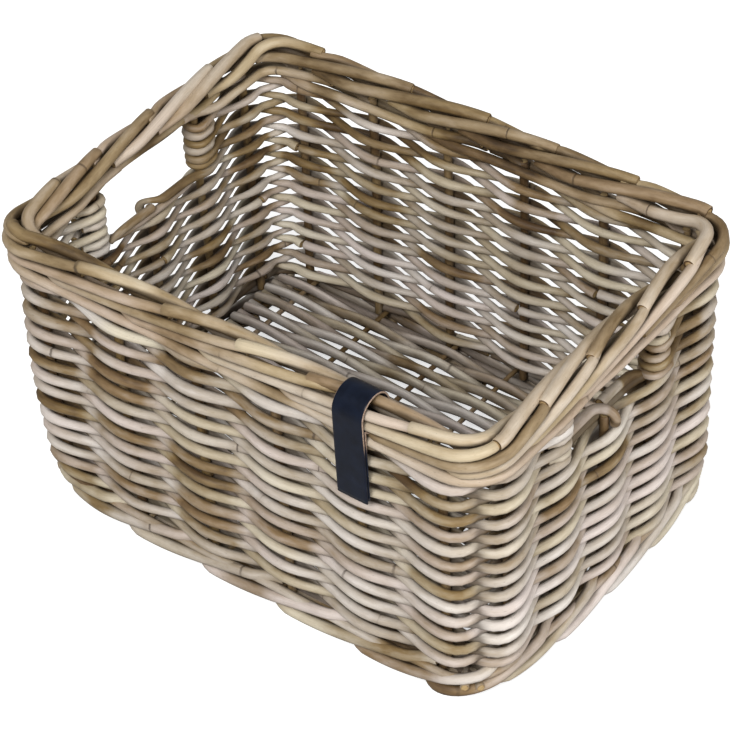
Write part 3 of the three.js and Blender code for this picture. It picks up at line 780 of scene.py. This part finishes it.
# Border: strands climb outside from the wale to the top; where one ends, another, cut on top, goes in over it
border = {
    "rods": 4, "corner": 24.207, "circle": 8.3, "perSpan": 12, "around": 14, "sizeVary": 0.12,
    "taper": (0.8, 1, 0.14), "tone": (0.4, 0.62), "toneDrift": 0.25, "patchBy": 0.25,
    # climbing strands, in stake counts and heights; their lower ends and tops are tucked in
    "climb": (2.9, 0.24), "low": 212.3, "high": 236.0, "heightVary": 1.2, "climbRadius": 3.85, "crest": 0.5,
    "foot": 4.9, "swing": (208.0, 226.0, 3.4), "overSlot": 0.2,
    "footTuck": (0.13, 0, 7.0), "topTuck": (0.86, 1, 2.2), "topDrop": (0.88, 1, 2.6),
    # over strands, as angles round the rope's circle; over a slot they end sooner
    "over": (2.15, 0.2), "overlap": (0.28, 0.3), "overRadius": 4.4, "overCircle": 8.1,
    "from": radians(58), "to": radians(236), "soonerAtSlot": 0.78, "endTuck": (0.75, 1, 2.6),
}


# Beside the border's line: the given distance outside it, at the given height
def besideBorder(u, outside, z):
    point, normal = ringAt(u, *borderHalf, border["corner"])
    return np.column_stack([point + normal * np.reshape(outside, (-1, 1)), np.broadcast_to(z, len(u))])


# Climbing strand: height grows with the stake count, outside along the wall at first, then round the rope
def climbingStrand(j, dice):
    climb = vary(dice, *border["climb"])
    first = border["overSlot"] if j % halfRound == 0 else 0  # over a slot it starts higher, clear of it
    share = np.linspace(first, 1, int(climb * border["perSpan"]) + 2)
    z = vary(dice, border["low"], border["heightVary"]) + (border["high"] - border["low"]) * share
    over = np.clip(z - hinge[2], 0, border["circle"] - border["crest"])
    onRope = np.sqrt(border["circle"] ** 2 - over ** 2)
    outside = np.where(z < hinge[2], border["foot"] + rise(z, *border["swing"]), onRope)
    outside = outside - rise(share, *border["footTuck"]) - rise(share, *border["topTuck"])
    return j + climb * share, outside, z - rise(share, *border["topDrop"]), share


# Over strand: an angle round the rope that grows with the stake count, from the cut on top to the inside
def overStrand(j, dice):
    over = vary(dice, *border["over"])
    lap, spread = border["overlap"]
    first = j + vary(dice, border["climb"][0] - lap, spread)
    share = np.linspace(0, 1, int(over * border["perSpan"]) + 2)
    sooner = border["soonerAtSlot"] if fromSlot(first + over) < 1 else 1
    angle = border["from"] + (border["to"] - border["from"]) * share * sooner
    circle = border["overCircle"] - rise(share, *border["endTuck"])
    return first + over * share, circle * np.cos(angle), hinge[2] + circle * np.sin(angle), share


for number in range(border["rods"]):
    bundle = Bundle(f"borderStrands{number + 1}", border["around"])
    for j in range(number, stakeCount, border["rods"]):
        for layer, (strand, size) in enumerate(((climbingStrand, "climbRadius"), (overStrand, "overRadius"))):
            seed = seeds["border"] + 2 * j + layer
            dice = diceOf(seed)
            u, outside, z, share = strand(float(j), dice)
            line = besideBorder(u, outside, z)
            path, away = handmade(line), line - besideBorder(u, 0, hinge[2])
            radius = border[size] * vary(dice, 1, border["sizeVary"])
            radius = radius * (1 - rise(share, *border["taper"]))
            tone = toneOf(path, vary(dice, *border["tone"]), seed, border["toneDrift"], border["patchBy"])
            bundle.rod(path, radius, tone, seed, away=away)
    bundle.put("border_rattan", f"border_rod_{number + 1}")
print("border plaited")

# Foot: strands start under the base, run along the wall's outside, then climb and go in between the rows
foot = {
    "rods": 3, "span": 2.5, "before": 0.6, "perSpan": 12, "low": 4.0, "climb": (0.3, 1.06, 19.5),
    "heightVary": 1.4, "under": -13.0, "comesOut": (0, 0.26, 20.2), "goesIn": (0.84, 1, 7.2), "middle": -3.0,
    "radius": 4.1, "sizeVary": 0.1, "tone": (0.3, 0.42),
    # under the strands hoops run round, inside the stakes' lower ends: distances outside and heights
    "hoops": ((0.0, 3.7), (-7.4, 3.7), (-5.0, 10.0)), "hoopRadius": 3.6, "hoopTone": 0.62,
    "hoopFrom": 2.53, "hoopTurn": 21.94, "hoopStep": 7, "hoopSteps": 220,
    # cut rods that end between the strands of each corner: stake counts aside and heights
    "stubs": ((-0.08, 12.0), (0.09, 9.5)), "stubEnds": (-16.0, 11.0), "stubSteps": 9, "stubRadius": 3.2,
    "stubTone": 0.5,
}
for number in range(foot["rods"]):
    bundle = Bundle(f"footStrands{number + 1}")
    for j in range(number, stakeCount, foot["rods"]):
        seed = seeds["foot"] + j
        dice = diceOf(seed)
        share = np.linspace(0, 1, int(foot["span"] * foot["perSpan"]))
        u = j - foot["before"] + foot["span"] * share
        z = foot["low"] + rise(share, *foot["climb"]) + vary(dice, 0, foot["heightVary"]) * share
        outside = foot["under"] + rise(share, *foot["comesOut"]) - rise(share, *foot["goesIn"])
        path, away = alongWall(u, z, outside, foot["middle"])
        tone = toneOf(path, vary(dice, *foot["tone"]), seed)
        radius = foot["radius"] * vary(dice, 1, foot["sizeVary"])
        bundle.rod(path, radius, tone, seed, floor=0.0, away=away)
    if number == 0:
        for corner, (aside, z) in itertools.product(cornerCounts, foot["stubs"]):
            path = handmade(wallAt(corner + aside, z, np.linspace(*foot["stubEnds"], foot["stubSteps"])))
            bundle.rod(path, foot["stubRadius"], foot["stubTone"], seeds["stubs"] + int(corner), floor=0.0)
    outside, z = foot["hoops"][number]
    u = foot["hoopFrom"] + foot["hoopStep"] * number + np.linspace(0, foot["hoopTurn"], foot["hoopSteps"])
    line = wallAt(u, z, outside)
    seed = seeds["hoops"] + number
    bundle.rod(handmade(line), foot["hoopRadius"], toneOf(line, foot["hoopTone"], seed), seed, floor=0.0)
    bundle.put("rattan", f"foot_rod_{number + 1}")
print("foot plaited")

# Base: sticks across, and close rods along that go over and under them from wall to wall
mat = {
    "stickRadius": 2.0, "stickReach": 143.0, "stickSteps": 40, "stickTone": 0.75,
    "rows": 38, "rowsPerNode": 10, "pitch": 7.15, "reach": 3.7, "radius": 3.62,
    "beyond": 0.36, "beyondVary": 0.05,  # how far the rods run on past the outer sticks, in stick counts
    "edgeDrop": 3.2,  # the outermost rods lie low along the wall
    "stray": 1.6, "strayStep": 120, "strayShift": 400, "tone": (0.2, 0.5), "toneDrift": 0.35,
}
stickX, stickZ = sticks[:, :, 0].mean(axis=1), sticks[0, :, 2].mean()
bundle = Bundle("baseSticks")
for i, x in enumerate(stickX):
    y = np.linspace(-mat["stickReach"], mat["stickReach"], mat["stickSteps"])
    path = np.column_stack(np.broadcast_arrays(x, y, stickZ))
    seed = seeds["sticks"] + i
    bundle.rod(path, mat["stickRadius"], toneOf(path, mat["stickTone"], seed), seed)
bundle.put("rattan", *(f"base_stick_{i + 1}" for i in range(len(stickX))))

stickGap = np.diff(stickX)
lastStick = len(stickX) - 1
for number, first in enumerate(range(0, mat["rows"], mat["rowsPerNode"])):
    bundle = Bundle(f"baseWeaver{number + 1}")
    for row in range(first, min(first + mat["rowsPerNode"], mat["rows"])):
        seed = seeds["base"] + row
        dice = diceOf(seed)
        beyond = mat["beyond"] + mat["beyondVary"] * dice.random(2)
        v = np.linspace(-beyond[0], lastStick + beyond[1], len(stickX) * rods["perSpan"])
        x = np.interp(v, np.arange(len(stickX)), stickX)
        x = x + np.minimum(v, 0) * stickGap[0] + np.maximum(v - lastStick, 0) * stickGap[-1]
        y = (row - (mat["rows"] - 1) / 2) * mat["pitch"]
        y = y + mat["stray"] * drift(x + mat["strayShift"], mat["strayStep"], seed)
        lift = mat["reach"] * wave(v + row)
        if row in (0, mat["rows"] - 1):
            lift = np.full(len(v), -mat["edgeDrop"])
        path = np.column_stack([x, y, stickZ + lift])
        away = np.column_stack([0 * x, 0 * x, lift])
        tone = toneOf(path, vary(dice, *mat["tone"]), seed, mat["toneDrift"])
        bundle.rod(path, mat["radius"], tone, seed, reference=(0, 1, 0), away=away)
    bundle.put("rattan", f"base_weaver_{number + 1}")
print("base woven")


# Strap's line, outwards and up from the hinge: front layer up, a circle round the border, rear layer down
def strapPath():
    inner = ropeRadius + strap["clearance"]
    middle = inner + strap["thick"] / 2
    rear = inner - strap["slit"] - strap["thick"] / 2
    last = 2 * pi - acos(rear / middle)
    turn = np.linspace(0, last, strap["loopSteps"])[1:]
    loop = middle * np.column_stack([np.cos(turn), np.sin(turn)])
    up = np.linspace(-strap["drop"], 0, strap["frontSteps"])
    down = np.linspace(loop[-1, 1], strap["rearShort"] - strap["drop"], strap["rearSteps"] + 1)[1:]
    front, back = (np.column_stack(np.broadcast_arrays(*pair)) for pair in ((middle, up), (rear, down)))
    return np.vstack([front, loop, back])


# Flat section with rounded edges along the line: half the width * cos and half the thickness * sin, squarer;
# all of it is leant in towards the wall about the hinge
def makeStrap():
    line = strapPath()
    along = unit(np.gradient(line, axis=0))
    out = np.column_stack([along[:, 1], -along[:, 0]])
    angle = np.linspace(0, 2 * pi, strap["around"], endpoint=False)
    wide = strap["width"] / 2 * signedPower(np.cos(angle), strap["squarer"][0])
    deep = strap["thick"] / 2 * signedPower(np.sin(angle), strap["squarer"][1])
    flat = line[:, None, :] + deep[None, :, None] * out[:, None, :]
    cosine, sine = cos(strap["lean"]), sin(strap["lean"])
    outward = flat[:, :, 0] * cosine + flat[:, :, 1] * sine
    upward = flat[:, :, 1] * cosine - flat[:, :, 0] * sine
    length, wide, deep, _ = np.broadcast_arrays(lengthAlong(line)[:, None], wide, deep, outward)
    points = hinge + np.stack([-wide, -outward, upward], axis=2)
    unbent = np.stack([length, wide, deep], axis=2)
    low, high = strap["edge"]
    edge = np.clip((np.abs(wide) - low) / (high - low), 0, 1)
    edgeBy = strap["edgeBelow"] + rise(line[:, 1:], *strap["edgeHeights"], 1 - strap["edgeBelow"])
    obj = putMesh("leatherStrap", points.reshape(-1, 3), *tubeFaces(*outward.shape),
                  unbent=unbent.reshape(-1, 3) * metre, tone=(edge * edgeBy).ravel())
    dress(obj, [strapLeather, strapLeather], "strap", ["label_strap"])


makeStrap()
print("strap looped")

# Floor, light and camera in metres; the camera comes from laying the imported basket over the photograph
studio = {
    "floor": 5.0, "floorSeen": (0.75, 0.75, 0.75, 1), "floorBounce": (0.5, 0.49, 0.48, 1),
    "floorGlow": (0.66, 0.66, 0.66, 1), "skyColour": (1, 0.99, 0.98, 1), "sky": 0.36, "lookAt": (0, 0, 0.1),
    "lamps": (
        {"name": "keyLamp", "at": (0.5, -1.9, 2.2), "size": 1.0, "power": 58.0, "colour": (1, 0.99, 0.975)},
        {"name": "sideLamp", "at": (2.3, -0.4, 0.9), "size": 1.0, "power": 33.5, "colour": (1, 0.995, 0.985)},
    ),
}
camera = {"azimuth": 39.4, "elevation": 40.6, "roll": -2.9, "distance": 2.088, "target": 0.1075,
          "aside": (-0.0016, -0.0015), "sensor": 36, "focalPixels": 2924, "imagePixels": 736}

scene = bpy.context.scene
scene.view_settings.view_transform = "Standard"

# The floor is nearly white to the camera and keeps the shadow; to other rays it is a plain grey
half = studio["floor"] / 2 / metre
floorCorners = np.array([(-half, -half, 0), (half, -half, 0), (half, half, 0), (-half, half, 0)])
floor = putMesh("floor", floorCorners, np.arange(4), np.array([4]), np.array([0]))
f = Finish("paleFloor")
looked = f.node("ShaderNodeLightPath", out="Is Camera Ray")
seen = f.mix(looked, studio["floorBounce"], studio["floorSeen"])
glow = f.mix(looked, (0, 0, 0, 1), studio["floorGlow"])
floor.data.materials.append(f.done(Base_Color=seen, Emission_Color=glow, Emission_Strength=1.0,
                                   Roughness=0.9, Specular_IOR_Level=0.1))

# The sky is white to the camera and dimmer as a light
f = Finish("paleSky", bpy.data.worlds)
strength = studio["sky"] + f.node("ShaderNodeLightPath", out="Is Camera Ray") * (1 - studio["sky"])
sky = f.node("ShaderNodeBackground", None, {"Color": studio["skyColour"], "Strength": strength})
f.node("ShaderNodeOutputWorld", None, {"Surface": sky})
scene.world = f.made

for lamp in studio["lamps"]:
    data = bpy.data.lights.new(lamp["name"], "AREA")
    data.size, data.energy, data.color = lamp["size"], lamp["power"], lamp["colour"]
    light = bpy.data.objects.new(lamp["name"], data)
    light.location = lamp["at"]
    light.rotation_mode = "QUATERNION"
    light.rotation_quaternion = (Vector(studio["lookAt"]) - Vector(lamp["at"])).to_track_quat("-Z", "Y")
    scene.collection.objects.link(light)

# The camera looks along ahead, turned about it by the roll
az, el, roll = (radians(camera[key]) for key in ("azimuth", "elevation", "roll"))
ahead = Vector((-sin(az) * cos(el), cos(az) * cos(el), -sin(el)))
right = Vector((cos(az), sin(az), 0))
upward = right.cross(ahead)
target = Vector((0, 0, camera["target"])) + camera["aside"][0] * right + camera["aside"][1] * upward
turned = Matrix((right, upward, -ahead)).transposed().to_4x4() @ Matrix.Rotation(roll, 4, "Z")
cameraData = bpy.data.cameras.new("photoCamera")
cameraData.sensor_width = camera["sensor"]
cameraData.lens = camera["sensor"] * camera["focalPixels"] / camera["imagePixels"]
photoCamera = bpy.data.objects.new("photoCamera", cameraData)
photoCamera.matrix_world = Matrix.Translation(target - ahead * camera["distance"]) @ turned
scene.collection.objects.link(photoCamera)
scene.camera = photoCamera
print("studio set")
